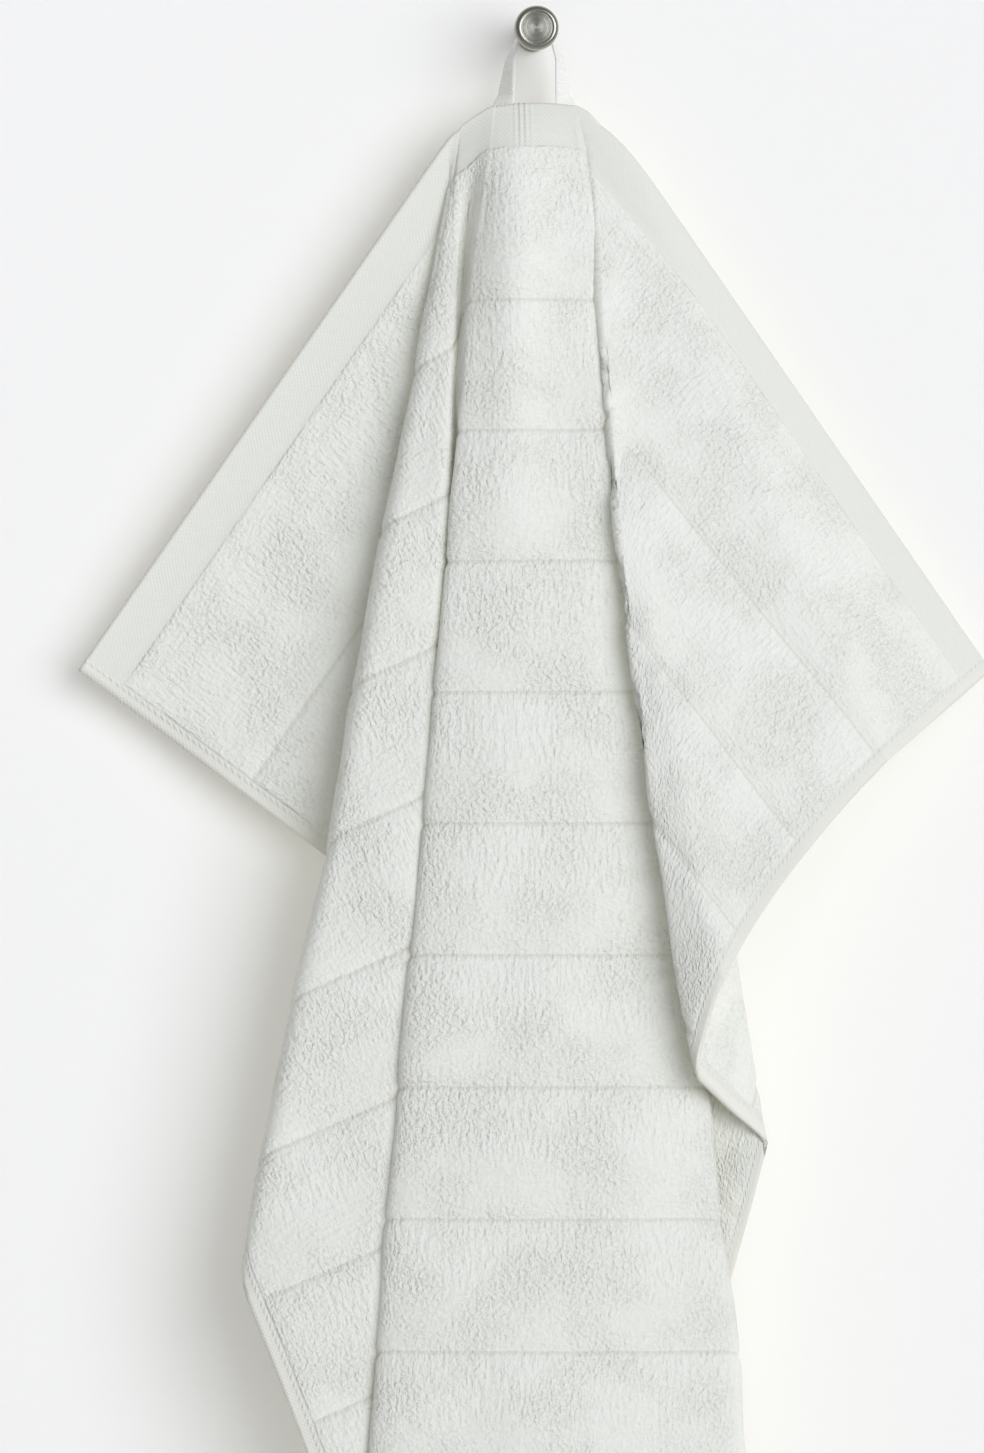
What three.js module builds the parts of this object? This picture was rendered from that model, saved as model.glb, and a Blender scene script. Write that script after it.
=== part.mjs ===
// A terry hand towel that hangs by its sewn loop from a small round wall hook.
// Millimetres. +Z is up, +X is right as seen from the room, and the room is towards -Y.
// The origin is the centre of the hook's back face, which stands against the wall.
import * as THREE from 'three';

// Driving sizes of the towel. "Across" is measured along the flat towel's width from its middle,
// "down" along its length from the top edge, and "out" is the distance from the wall.
const HALF_WIDTH = 250;
const LENGTH = 700;
const CLOTH_THICKNESS = 2.4;

// The top edge: level at the loop, bent down on an arc, then straight to each corner.
const EDGE_HEIGHT = -22.5;
const EDGE_OUT = 24;
const EDGE_LEVEL = 2;
const EDGE_BEND_RADIUS = 34;
const EDGE_SLOPE = THREE.MathUtils.degToRad(55.2);
const CORNER_OUT = 17;

// Every crease starts at the top edge, at "hem" across, and runs straight until it is at "across" and
// "down" in the flat towel and at x, out, z in the room. Below that it turns to hang straight down and
// ends at its foot on the bottom hem. Creases without a foot leave the towel through a side edge.
// "Bow" is how far the middle of the crease stands to the right of straight, and "soft" is how many
// times wider than usual it is rounded. "Dip" is how far it sinks towards the wall just below the hem.
const CREASES = {
  flapBack: { hem: -33.5, across: -250, down: 174, x: -8, out: 18, z: -322, bow: 0, soft: 1, dip: 4 },
  flapTurn: { hem: -32, across: -250, down: 186, x: -8, out: 24, z: -330, bow: 0, soft: 1, dip: 4 },
  pleatBack: { hem: -30.4, across: -250, down: 300, x: -97, out: 38, z: -404, bow: 2, soft: 1.2, dip: 4 },
  pleatFront: { hem: -29.2, across: -250, down: 318, x: -100, out: 50, z: -414, bow: 4, soft: 1.7, dip: 4 },
  pleatInner: {
    hem: -28, across: -250, down: 428, x: -60.5, out: 58, z: -516, bow: 4.5, soft: 1.3, dip: 3,
    foot: { across: -300, x: -74, out: 40, z: -764 },
  },
  panelLeft: {
    hem: -14, across: -57, down: 450, x: -56, out: 61, z: -472, bow: -1.6, soft: 1.3, dip: -1,
    foot: { across: -60, x: -52, out: 60, z: -722 },
  },
  panelRight: {
    hem: 13, across: 67, down: 450, x: 67.5, out: 60, z: -472, bow: 3.5, soft: 1.2, dip: 1,
    foot: { across: 64, x: 60, out: 58, z: -722 },
  },
  rollBack: {
    hem: 16, across: 250, down: 255, x: 76, out: 48, z: -370, bow: 0, soft: 1.2, dip: 3,
    foot: { across: 340, x: 120, out: 34, z: -768 },
  },
  rollUnder: { hem: 18, across: 250, down: 208, x: 51, out: 68, z: -347, bow: -6.5, soft: 1.4, dip: 3 },
  flapCrease: { hem: 24, across: 250, down: 172, x: 60, out: 72, z: -315, bow: -7, soft: 3, dip: 2 },
  flapBend: { hem: 30, across: 250, down: 65, x: 116, out: 44, z: -244, bow: 0, soft: 3, dip: 0 },
};

const DIP_DOWN = 26;

// The bundle of folds leaves the wall fastest this far below the top edge.
const GROWTH_START = 20;

// The spare cloth behind each edge of the front panel lies in flat layers. The shares are parts of the
// cloth between the panel's edge and the next crease, and what they leave of it runs to that crease.
// On the left the last layer comes back to the gap and rises to just behind the panel.
const TUCKS = {
  left: { inward: 1, turn: 0.035, front: 0.22, middle: 0.14, back: 0.17, rise: 0.12, riseRun: 0.06, valley: 7 },
  right: { inward: -1, turn: 0.035, front: 0.17, middle: 0.06, back: 0, rise: 0, riseRun: 0, valley: 3 },
};
const LAYER_PITCH = 5.2;
const GAP_STEP = 1.6;
const LAYER_SOFTNESS = 0.8;
const FULL_PITCH_DOWN = 450;
const TUCKS_START = 80;
const TUCKS_FULL = 190;
const MIDDLE_LAYERS_START = 130;
const MIDDLE_LAYERS_FULL = 300;

// Above the layers the spare cloth is one valley, whose depth is a share of its cloth, up to the one in
// its row of TUCKS. It stays clear of the wall.
const VALLEY_SHARE = 0.3;
const VALLEY_FLOOR = 9;
const VALLEY_START = 9;
const VALLEY_FULL = 35;

// How far the middle of the left flap bulges out.
const FLAP_CROWN = 2;

// The front panel's crown, and the narrow ridge below the loop.
const PANEL_CROWN = 5;
const PANEL_SOFTNESS = 1.5;
const PANEL_LINES = 7;
const RIDGE_HEIGHT = 7;
const RIDGE_DOWN = 45;
const RIDGE_PLACE = 0.3;
const RIDGE_SPREAD = 0.2;

// How widely the creases are rounded, as a distance along the cloth. The hem at the top is stiffer, so
// the creases are rounder there.
const ROUNDING_AT_EDGE = 1.5;
const ROUNDING_GROWTH = 0.016;
const ROUNDING_MOST = 7;
const HEM_ROUNDING = 9;
const HEM_ROUNDING_DOWN = 52;
const ROUNDING_TAPS = 8;
const NORMAL_STEP = 0.8;

// Loop and hook.
const TAPE_WIDTH = 8;
const TAPE_THICKNESS = 1.2;
const TAPE_FRONT_EDGE = 6.9;
const TAPE_OVERLAP = 9;
const TAPE_HEM_RISE = 1.5;
const TAPE_LEG_TWIST = THREE.MathUtils.degToRad(40);
const TAPE_SEWN_TWIST = THREE.MathUtils.degToRad(90);
const TAPE_OUT = 22;
const TAPE_LEG_OUT = 18;
const TAPE_LEG_ROWS = [0, 0.15, 0.3, 0.45, 0.6, 0.75, 0.88];
const TAPE_SEWN_ROWS = [0, 0.25, 0.5, 0.75, 1];
const TAPE_SETTLED = 0.75;
const TAPE_ARC_STEPS = 14;
const STEM_RADIUS = 4.6;
const STEM_LENGTH = 26;
const PLATE_RADIUS = 5.4;
const PLATE_THICKNESS = 4;
const HEAD_RADIUS = 7.3;
const HEAD_THICKNESS = 7;
const HEAD_FACE_RADIUS = 5.5;
const HEAD_CHAMFER = 0.6;
const HEAD_BEVEL = 1.6;
const PLATE_CHAMFER = 0.5;
const HOOK_SEGMENTS = 48;
const PIECE_GAP = 0.3;
const SEWN_OUT = EDGE_OUT - CLOTH_THICKNESS / 2 - TAPE_THICKNESS / 2 - 3 * PIECE_GAP;

// How the towel's mesh is laid out: rows down, and columns at the creases and between them.
const ROWS = 32;
const ROW_CROWDING = 1.15;
const COLUMN_CHOICE_DOWN = 300;
const WIDE_RUN = 20;
const MEDIUM_RUN = 9;
const FLAP_COLUMNS = [1, 0.66, 0.33, 0.08];
const SAME_POINT = 0.02;

const lerp = THREE.MathUtils.lerp;
const smoothstep = THREE.MathUtils.smoothstep;

// The top edge's place in the room at a point across the towel.
function topEdge(across) {
  const side = Math.sign(across);
  const along = Math.abs(across);
  const turned = Math.min(Math.max(along - EDGE_LEVEL, 0) / EDGE_BEND_RADIUS, EDGE_SLOPE);
  const straight = Math.max(along - EDGE_LEVEL - EDGE_BEND_RADIUS * EDGE_SLOPE, 0);
  const level = Math.min(along, EDGE_LEVEL);
  const sideways = level + EDGE_BEND_RADIUS * Math.sin(turned) + straight * Math.cos(EDGE_SLOPE);
  const drop = EDGE_BEND_RADIUS * (1 - Math.cos(turned)) + straight * Math.sin(EDGE_SLOPE);
  const out = lerp(EDGE_OUT, CORNER_OUT, along / HALF_WIDTH);
  return { x: side * sideways, out, z: EDGE_HEIGHT - drop };
}

// The part of its way out that the bundle of folds has gone at a distance down the towel.
function bundleGrowth(down, full) {
  const start = Math.sqrt(GROWTH_START);
  return (Math.sqrt(Math.max(down, 0) + GROWTH_START) - start) / (Math.sqrt(full + GROWTH_START) - start);
}

// One crease's flat place across the towel and its place in the room, at a distance down the towel.
function creaseAt(crease, down, bundled) {
  const start = topEdge(crease.hem);
  const along = down / crease.down;
  const bowed = crease.bow * 4 * Math.max(along * (1 - along), 0);
  const dip = crease.dip * (down / DIP_DOWN) * Math.exp(1 - down / DIP_DOWN);
  const straight = {
    across: lerp(crease.hem, crease.across, along),
    x: lerp(start.x, crease.x, along) + bowed,
    out: lerp(start.out, crease.out, bundled ? bundleGrowth(down, crease.down) : along) - dip,
    z: lerp(start.z, crease.z, along),
    soft: crease.soft,
  };
  if (!crease.foot || down < crease.down) return straight;
  const hung = smoothstep(down, crease.down, LENGTH);
  return {
    across: lerp(straight.across, crease.foot.across, hung),
    x: lerp(straight.x, crease.foot.x, hung),
    out: lerp(straight.out, crease.foot.out, hung),
    z: lerp(straight.z, crease.foot.z + LENGTH - down, hung),
    soft: crease.soft,
  };
}

// The layers between an edge of the front panel and the crease that the spare cloth comes out at,
// from the panel outwards: in behind the panel, back, in again, and out.
function tuckNodes(edge, outer, tuck, down) {
  const flat = Math.abs(outer.across - edge.across);
  const level = Math.sqrt(Math.max(flat ** 2 - (outer.z - edge.z) ** 2, 0));
  const pitch = LAYER_PITCH * Math.sqrt(Math.min(down / FULL_PITCH_DOWN, 1));
  const opened = smoothstep(down, TUCKS_START, TUCKS_FULL);
  const middleOpened = smoothstep(down, MIDDLE_LAYERS_START, MIDDLE_LAYERS_FULL);
  const reach = edge.x + tuck.inward * tuck.front * level;
  const middle = reach - tuck.inward * tuck.middle * level * middleOpened;
  const mouthOut = (edge.out + outer.out) / 2;
  const deepest = Math.max(Math.min(VALLEY_SHARE * level, tuck.valley, mouthOut - VALLEY_FLOOR), 0);
  const valley = deepest * smoothstep(down, VALLEY_START, VALLEY_FULL);
  const steps = [
    { share: tuck.turn, x: edge.x, layer: 1 },
    { share: tuck.front, x: reach, layer: 1 },
    { share: tuck.turn, x: reach, layer: 2 },
    { share: tuck.middle, x: middle, layer: 2 },
    { share: tuck.turn, x: middle, layer: 3 },
    { share: tuck.middle, x: reach, layer: 3 },
    { share: tuck.turn, x: reach, layer: 4 },
  ];
  if (tuck.back > 0) {
    const backX = reach - tuck.inward * tuck.back * level;
    steps.push({ share: tuck.back, x: backX, layer: 4 });
    steps.push({ share: tuck.rise, x: backX - tuck.inward * tuck.riseRun * level, layer: 1, step: GAP_STEP });
  }
  let share = 0;
  return steps.map((step) => {
    share += step.share;
    return {
      across: lerp(edge.across, outer.across, share),
      x: lerp(lerp(edge.x, outer.x, share), step.x, opened),
      out: lerp(
        lerp(edge.out, outer.out, share) - valley * Math.sin(Math.PI * share),
        edge.out - step.layer * pitch - (step.step ?? 0),
        opened,
      ),
      z: lerp(edge.z, outer.z, share),
      soft: LAYER_SOFTNESS,
    };
  });
}

// The front panel between its two edges: a low crown, and the narrow ridge below the loop.
function panelNodes(left, right, down) {
  const crown = PANEL_CROWN * smoothstep(down, 0, FULL_PITCH_DOWN);
  const ridge = RIDGE_HEIGHT * (down / RIDGE_DOWN) * Math.exp(1 - down / RIDGE_DOWN);
  const shares = Array.from({ length: PANEL_LINES }, (_, line) => (line + 1) / (PANEL_LINES + 1));
  return shares.map((share) => ({
    across: lerp(left.across, right.across, share),
    x: lerp(left.x, right.x, share),
    out: lerp(left.out, right.out, share)
      + crown * 4 * share * (1 - share)
      + ridge * Math.exp(-(((share - RIDGE_PLACE) / RIDGE_SPREAD) ** 2)),
    z: lerp(left.z, right.z, share),
    soft: PANEL_SOFTNESS,
  }));
}

// All the nodes of one weft row, from the left flap to the right flap.
function rowNodes(down) {
  const flap = (name) => creaseAt(CREASES[name], down, false);
  const bundle = (name) => creaseAt(CREASES[name], down, true);
  const pleatInner = bundle('pleatInner');
  const panelLeft = bundle('panelLeft');
  const panelRight = bundle('panelRight');
  const rollBack = bundle('rollBack');
  return [
    flap('flapBack'),
    flap('flapTurn'),
    bundle('pleatBack'),
    bundle('pleatFront'),
    pleatInner,
    ...tuckNodes(panelLeft, pleatInner, TUCKS.left, down).reverse(),
    panelLeft,
    ...panelNodes(panelLeft, panelRight, down),
    panelRight,
    ...tuckNodes(panelRight, rollBack, TUCKS.right, down),
    rollBack,
    bundle('rollUnder'),
    flap('flapCrease'),
    flap('flapBend'),
  ];
}

const rowCache = new Map();

function cachedRow(down) {
  const key = Math.round(down * 1000);
  if (!rowCache.has(key)) rowCache.set(key, rowNodes(down));
  return rowCache.get(key);
}

// The left flap bulges less towards the top edge, which is straight, and where the flap gets narrow.
function flapOpening(endAcross) {
  const width = (HALF_WIDTH - Math.abs(endAcross)) / HALF_WIDTH;
  return 4 * width * (1 - width);
}

// The sharp-creased row at a point across. Past the last crease the cloth runs on towards the corner.
function sharpPoint(row, across) {
  const side = Math.sign(across);
  const end = side < 0 ? row[0] : row[row.length - 1];
  if (side * across > side * end.across) {
    const edgeStart = topEdge(side * EDGE_BEND_RADIUS);
    const corner = topEdge(side * HALF_WIDTH);
    const share = Math.abs(across - end.across) / (HALF_WIDTH - EDGE_BEND_RADIUS);
    const place = Math.min(Math.abs(across - end.across) / (HALF_WIDTH - Math.abs(end.across)), 1);
    const crown = side < 0 ? FLAP_CROWN * flapOpening(end.across) * 4 * place * (1 - place) : 0;
    return new THREE.Vector3(
      end.x + share * (corner.x - edgeStart.x),
      -end.out - share * (corner.out - edgeStart.out) - crown,
      end.z + share * (corner.z - edgeStart.z),
    );
  }
  let right = 1;
  while (right < row.length - 1 && row[right].across < across) right += 1;
  const a = row[right - 1];
  const b = row[right];
  const share = (across - a.across) / (b.across - a.across);
  return new THREE.Vector3(lerp(a.x, b.x, share), -lerp(a.out, b.out, share), lerp(a.z, b.z, share));
}

function roundingAt(down) {
  const hem = HEM_ROUNDING * Math.exp(-((down / HEM_ROUNDING_DOWN) ** 2));
  return Math.min(ROUNDING_AT_EDGE + ROUNDING_GROWTH * down, ROUNDING_MOST) + hem;
}

// How soft the creases are at a point of a row, between those of the nodes beside it.
function softnessAt(row, across) {
  if (across <= row[0].across) return row[0].soft;
  const right = row.findIndex((node) => node.across >= across);
  if (right < 0) return row[row.length - 1].soft;
  const a = row[right - 1];
  const b = row[right];
  return lerp(a.soft, b.soft, (across - a.across) / (b.across - a.across));
}

// The middle surface of the hanging towel: the sharp row averaged over the rounding distance.
function clothPoint(across, down) {
  const row = cachedRow(down);
  const spread = roundingAt(down) * softnessAt(row, across);
  const sum = new THREE.Vector3();
  let total = 0;
  for (let tap = -ROUNDING_TAPS; tap <= ROUNDING_TAPS; tap += 1) {
    const weight = Math.cos((tap / (ROUNDING_TAPS + 1)) * (Math.PI / 2)) ** 2;
    sum.addScaledVector(sharpPoint(row, across + (tap / ROUNDING_TAPS) * spread), weight);
    total += weight;
  }
  return sum.divideScalar(total);
}

// The outward normal of the towel's face side, from small steps along both threads.
function clothNormal(across, down) {
  const up = Math.max(down - NORMAL_STEP, 0);
  const low = Math.min(down + NORMAL_STEP, LENGTH);
  const weft = clothPoint(across + NORMAL_STEP, down).sub(clothPoint(across - NORMAL_STEP, down));
  const warp = clothPoint(across, low).sub(clothPoint(across, up));
  return warp.cross(weft).normalize();
}

// The extra mesh columns between two neighbouring nodes: none on a narrow turn, two beside wide runs.
function columnRecipes() {
  const row = cachedRow(COLUMN_CHOICE_DOWN);
  const recipes = FLAP_COLUMNS.map((share) => ({ flap: -1, share }));
  for (let node = 0; node < row.length - 1; node += 1) {
    const width = row[node + 1].across - row[node].across;
    recipes.push({ node, share: 0 });
    if (width > WIDE_RUN) {
      recipes.push({ node, fromLeft: true }, { node, fromRight: true });
    } else if (width > MEDIUM_RUN) {
      recipes.push({ node, share: 0.5 });
    }
  }
  recipes.push({ node: row.length - 1, share: 0 });
  const mirrored = [...FLAP_COLUMNS].reverse();
  return recipes.concat(mirrored.map((share) => ({ flap: 1, share })));
}

// Where one column crosses a row, as a distance across the towel.
function columnAcross(recipe, row, down) {
  if (recipe.flap) {
    const end = recipe.flap < 0 ? row[0].across : row[row.length - 1].across;
    if (Math.abs(end) >= HALF_WIDTH) return recipe.flap * HALF_WIDTH;
    return lerp(end, recipe.flap * HALF_WIDTH, recipe.share);
  }
  const left = row[recipe.node].across;
  if (recipe.share === 0) return left;
  const right = row[recipe.node + 1].across;
  const beside = Math.min(roundingAt(down), (right - left) / 3);
  if (recipe.fromLeft) return left + beside;
  if (recipe.fromRight) return right - beside;
  return lerp(left, right, recipe.share);
}

// The rows' distances down the towel, closer together near the top edge.
function rowDowns() {
  return Array.from({ length: ROWS + 1 }, (_, row) => LENGTH * (row / ROWS) ** ROW_CROWDING);
}

// A closed sheet from the grid of columns and rows. Columns that have left the towel through a side edge
// share the edge's point, so their strips close up to nothing.
function makeTowel() {
  const recipes = columnRecipes();
  const positions = [];
  const grid = rowDowns().map((down) => {
    const row = cachedRow(down);
    let previous = null;
    return recipes.map((recipe) => {
      const across = THREE.MathUtils.clamp(columnAcross(recipe, row, down), -HALF_WIDTH, HALF_WIDTH);
      if (previous && across - previous.across < SAME_POINT) return previous;
      const point = clothPoint(across, down);
      const half = clothNormal(across, down).multiplyScalar(CLOTH_THICKNESS / 2);
      const face = positions.length / 3;
      positions.push(...point.clone().add(half).toArray(), ...point.clone().sub(half).toArray());
      previous = { across, face, back: face + 1 };
      return previous;
    });
  });
  const triangles = [];
  const addTriangle = (a, b, c) => {
    if (a !== b && b !== c && c !== a) triangles.push(a, b, c);
  };
  const addQuad = (a, b, c, d) => {
    addTriangle(a, b, c);
    addTriangle(a, c, d);
  };
  const lastColumn = recipes.length - 1;
  for (let row = 0; row < ROWS; row += 1) {
    for (let column = 0; column < lastColumn; column += 1) {
      const [a, b] = [grid[row][column], grid[row][column + 1]];
      const [d, c] = [grid[row + 1][column], grid[row + 1][column + 1]];
      addQuad(a.face, d.face, c.face, b.face);
      addQuad(a.back, b.back, c.back, d.back);
    }
    const [left, leftLow] = [grid[row][0], grid[row + 1][0]];
    const [right, rightLow] = [grid[row][lastColumn], grid[row + 1][lastColumn]];
    addQuad(left.face, left.back, leftLow.back, leftLow.face);
    addQuad(right.face, rightLow.face, rightLow.back, right.back);
  }
  for (let column = 0; column < lastColumn; column += 1) {
    const [a, b] = [grid[0][column], grid[0][column + 1]];
    const [c, d] = [grid[ROWS][column], grid[ROWS][column + 1]];
    addQuad(a.face, b.face, b.back, a.back);
    addQuad(c.face, c.back, d.back, d.face);
  }
  return closedGeometry(positions, triangles);
}

function closedGeometry(positions, triangles) {
  const geometry = new THREE.BufferGeometry();
  geometry.setAttribute('position', new THREE.Float32BufferAttribute(positions, 3));
  geometry.setIndex(triangles);
  geometry.computeVertexNormals();
  return geometry;
}

// The stations of the loop's tape, from the sewn left end over the stem to the sewn right end. Each has
// a middle point and the direction of the tape's width, which turns from along the stem to sideways.
function tapeStations() {
  const radius = STEM_RADIUS + PIECE_GAP + TAPE_THICKNESS / 2;
  const hemZ = EDGE_HEIGHT + TAPE_HEM_RISE;
  const sewnZ = EDGE_HEIGHT - TAPE_OVERLAP;
  const stations = [];
  const frontEdge = (twist) => TAPE_FRONT_EDGE + (TAPE_WIDTH / 2) * Math.sin(twist);
  const leg = (side) => TAPE_LEG_ROWS.map((share) => {
    const twist = share * TAPE_LEG_TWIST;
    const x = side * lerp(radius, frontEdge(twist), smoothstep(share, 0, 0.5));
    const out = lerp(TAPE_OUT, TAPE_LEG_OUT, share);
    return { x, out, z: lerp(0, hemZ, share), turn: side * twist };
  });
  const sewn = (side) => TAPE_SEWN_ROWS.map((share) => {
    const settled = Math.min(share / TAPE_SETTLED, 1);
    const twist = lerp(TAPE_LEG_TWIST, TAPE_SEWN_TWIST, settled);
    const out = lerp(TAPE_LEG_OUT, SEWN_OUT, settled);
    return { x: side * frontEdge(twist), out, z: lerp(hemZ, sewnZ, share), turn: side * twist };
  });
  stations.push(...sewn(-1).reverse(), ...leg(-1).reverse());
  for (let step = 1; step < TAPE_ARC_STEPS; step += 1) {
    const angle = Math.PI * (1 - step / TAPE_ARC_STEPS);
    stations.push({ x: radius * Math.cos(angle), out: TAPE_OUT, z: radius * Math.sin(angle), turn: 0 });
  }
  stations.push(...leg(1), ...sewn(1));
  return stations;
}

// The tape itself: its flat section carried along the stations.
function makeLoop() {
  const stations = tapeStations();
  const centres = stations.map((station) => new THREE.Vector3(station.x, -station.out, station.z));
  const positions = [];
  centres.forEach((centre, index) => {
    const before = centres[Math.max(index - 1, 0)];
    const after = centres[Math.min(index + 1, centres.length - 1)];
    const along = after.clone().sub(before).normalize();
    const width = new THREE.Vector3(Math.sin(stations[index].turn), Math.cos(stations[index].turn), 0);
    width.addScaledVector(along, -width.dot(along)).normalize();
    const thick = along.clone().cross(width).normalize();
    for (const [w, t] of [[-1, -1], [1, -1], [1, 1], [-1, 1]]) {
      const corner = centre.clone()
        .addScaledVector(width, (w * TAPE_WIDTH) / 2)
        .addScaledVector(thick, (t * TAPE_THICKNESS) / 2);
      positions.push(...corner.toArray());
    }
  });
  const triangles = [];
  const quad = (a, b, c, d) => triangles.push(a, c, b, a, d, c);
  const last = 4 * (centres.length - 1);
  quad(0, 1, 2, 3);
  quad(last, last + 3, last + 2, last + 1);
  for (let base = 0; base < last; base += 4) {
    for (let side = 0; side < 4; side += 1) {
      const next = (side + 1) % 4;
      quad(base + side, base + 4 + side, base + 4 + next, base + next);
    }
  }
  return closedGeometry(positions, triangles);
}

// A turned piece about the hook's axis, from its radius and out pairs.
function turned(profile) {
  const points = profile.map(([radius, out]) => new THREE.Vector2(radius, out));
  const geometry = new THREE.LatheGeometry(points, HOOK_SEGMENTS);
  geometry.rotateX(Math.PI);
  return geometry;
}

const STEM_START = PLATE_THICKNESS;
const STEM_END = PLATE_THICKNESS + STEM_LENGTH;
const HEAD_START = STEM_END + PIECE_GAP;
const HEAD_END = HEAD_START + HEAD_THICKNESS;

function makeHookBody() {
  return turned([
    [0, 0],
    [PLATE_RADIUS - PLATE_CHAMFER, 0],
    [PLATE_RADIUS, PLATE_CHAMFER],
    [PLATE_RADIUS, PLATE_THICKNESS - PLATE_CHAMFER],
    [PLATE_RADIUS - PLATE_CHAMFER, PLATE_THICKNESS],
    [STEM_RADIUS, STEM_START],
    [STEM_RADIUS, STEM_END],
    [0, STEM_END],
  ]);
}

function makeHookHead() {
  return turned([
    [0, HEAD_START],
    [HEAD_RADIUS - HEAD_CHAMFER, HEAD_START],
    [HEAD_RADIUS, HEAD_START + HEAD_CHAMFER],
    [HEAD_RADIUS, HEAD_END - HEAD_BEVEL],
    [HEAD_FACE_RADIUS, HEAD_END],
    [0, HEAD_END],
  ]);
}

const terry = new THREE.MeshStandardMaterial({ color: 0xe8eae6, roughness: 0.95, metalness: 0, side: THREE.DoubleSide });
const tape = new THREE.MeshStandardMaterial({ color: 0xdfe0d6, roughness: 0.9, metalness: 0 });
const steel = new THREE.MeshStandardMaterial({ color: 0xb9bab8, roughness: 0.3, metalness: 1 });

const group = new THREE.Group();
for (const [name, geometry, material] of [
  ['towel', makeTowel(), terry],
  ['hanging_loop', makeLoop(), tape],
  ['hook_body', makeHookBody(), steel],
  ['hook_head', makeHookHead(), steel],
]) {
  const mesh = new THREE.Mesh(geometry, material);
  mesh.name = name;
  group.add(mesh);
}

export default group;
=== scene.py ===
"""A white terry hand towel that hangs by its sewn loop from a small round steel hook on a wall.

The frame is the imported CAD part: the hook's back face stands on the wall at the origin, +Z is up, +X is
right as seen from the room, and the room is towards -Y. The cloth's own sizes are in millimetres and
become metres when a mesh is made. "Across" is measured along the flat towel's width from its middle,
"down" along its length from the top edge, and "out" is the distance from the wall.
"""

import logging
import math
from dataclasses import dataclass
from enum import Enum
from typing import Any, Optional

import bmesh
import bpy
import numpy as np
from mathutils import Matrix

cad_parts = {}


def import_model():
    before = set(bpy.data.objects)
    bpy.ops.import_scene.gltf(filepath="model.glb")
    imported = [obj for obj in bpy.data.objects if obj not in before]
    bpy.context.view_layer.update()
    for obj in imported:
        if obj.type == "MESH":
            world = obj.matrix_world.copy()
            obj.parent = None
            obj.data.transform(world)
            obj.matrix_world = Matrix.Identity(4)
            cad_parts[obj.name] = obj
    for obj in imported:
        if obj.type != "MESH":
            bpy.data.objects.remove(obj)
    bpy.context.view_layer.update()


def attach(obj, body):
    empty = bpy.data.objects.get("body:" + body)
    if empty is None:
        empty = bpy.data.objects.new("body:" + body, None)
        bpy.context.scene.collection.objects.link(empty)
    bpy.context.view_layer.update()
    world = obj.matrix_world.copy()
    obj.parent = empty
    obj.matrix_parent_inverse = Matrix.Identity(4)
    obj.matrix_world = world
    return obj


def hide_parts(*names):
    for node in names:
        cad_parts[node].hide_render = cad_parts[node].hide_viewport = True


LOG = logging.getLogger("hand_towel")
METRES_PER_MM = 0.001
PHOTO_WIDTH = 984
PHOTO_HEIGHT = 1453
TINY = 1e-9

Array = np.ndarray
Pair = tuple[float, float]
Triple = tuple[float, float, float]


class Slot(Enum):
    """The record's material slots."""

    TERRY = "terry"
    TAPE = "tape"
    STEEL = "steel"


def smoothstep(value: Array, low: float, high: float) -> Array:
    """The smooth rise from 0 at low to 1 at high: 3 t squared minus 2 t cubed.

    Args:
        value: Where to read the curve.
        low: The value at which it leaves 0.
        high: The value at which it reaches 1.

    Returns:
        The curve's heights.
    """
    share = np.clip((value - low) / (high - low), 0.0, 1.0)
    return share * share * (3.0 - 2.0 * share)


def stacked(*columns: Array) -> Array:
    """Arrays of one shape, side by side along a new last axis."""
    return np.stack(columns, axis=-1)


def lerp(start: Any, end: Any, share: Any) -> Any:
    """The value at a share of the way from start to end."""
    return start + (end - start) * share


def link(name: str, data: bpy.types.ID) -> bpy.types.Object:
    """Makes an object of some data and puts it in the scene."""
    item = bpy.data.objects.new(name, data)
    bpy.context.scene.collection.objects.link(item)
    return item


@dataclass(frozen=True)
class Foot:
    """Where a crease meets the bottom hem, in millimetres."""

    across: float
    x: float
    out: float
    z: float


@dataclass(frozen=True)
class Crease:
    """A crease from the top edge to a place in the flat towel and in the room, in millimetres.

    It starts at "hem" across and runs straight until it is at "across" and "down" in the flat towel and
    at x, out, z in the room. One with a foot then turns to hang straight down. "bow" is how far its
    middle stands to the right of straight, "soft" how many times wider than usual it is rounded, and
    "dip" how far it sinks towards the wall just below the hem.
    """

    hem: float
    across: float
    down: float
    x: float
    out: float
    z: float
    bow: float = 0.0
    soft: float = 1.0
    dip: float = 0.0
    foot: Optional[Foot] = None
    bundled: bool = True


@dataclass(frozen=True)
class Tuck:
    """The flat layers of spare cloth behind one edge of the front panel, as shares of that cloth.

    The "valley" is the depth in millimetres of the one soft valley that they are nearer the hem.
    """

    inward: int
    turn: float
    front: float
    middle: float
    valley: float
    back: float = 0.0
    rise: float = 0.0
    rise_run: float = 0.0


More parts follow.
